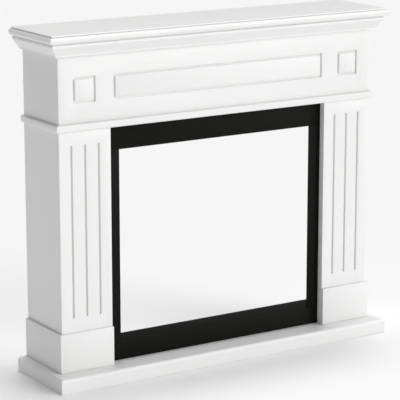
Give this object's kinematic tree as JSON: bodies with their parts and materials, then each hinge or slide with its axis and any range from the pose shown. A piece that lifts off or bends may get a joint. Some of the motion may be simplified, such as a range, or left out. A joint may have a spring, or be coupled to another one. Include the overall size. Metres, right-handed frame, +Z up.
{
  "type": "electric fireplace surround",
  "caption": "Freestanding mantel surround for an electric fire insert: fluted pilasters, panelled frieze, moulded shelf, hearth slab and a black inset round the opening.",
  "frame": {"origin": "on the floor, at the middle of the footprint (the middle of the bounding box's underside)", "axes": "+X to the right as seen from the room, +Y back to the wall, +Z up; the front faces -Y"},
  "size_m": [1.086, 0.251, 0.95],
  "materials": {
    "white_paint": "white satin paint over MDF",
    "black_paint": "black satin paint over MDF"
  },
  "bodies": {
    "root": {"astragal_front": "white_paint", "astragal_return_left": "white_paint", "astragal_return_right": "white_paint", "crown_moulding_front": "white_paint", "crown_moulding_return_left": "white_paint", "crown_moulding_return_right": "white_paint", "frieze_board": "white_paint", "hearth_slab": "white_paint", "inset_bottom_rail": "black_paint", "inset_stile_left": "black_paint", "inset_stile_right": "black_paint", "inset_top_rail": "black_paint", "mantel_shelf": "white_paint", "pilaster_left": "white_paint", "pilaster_right": "white_paint", "plinth_front_left": "white_paint", "plinth_front_right": "white_paint", "plinth_side_left": "white_paint", "plinth_side_right": "white_paint", "side_panel_left": "white_paint", "side_panel_right": "white_paint", "sill_board": "black_paint", "sill_rear_rail": "black_paint"}
  },
  "joints": []
}
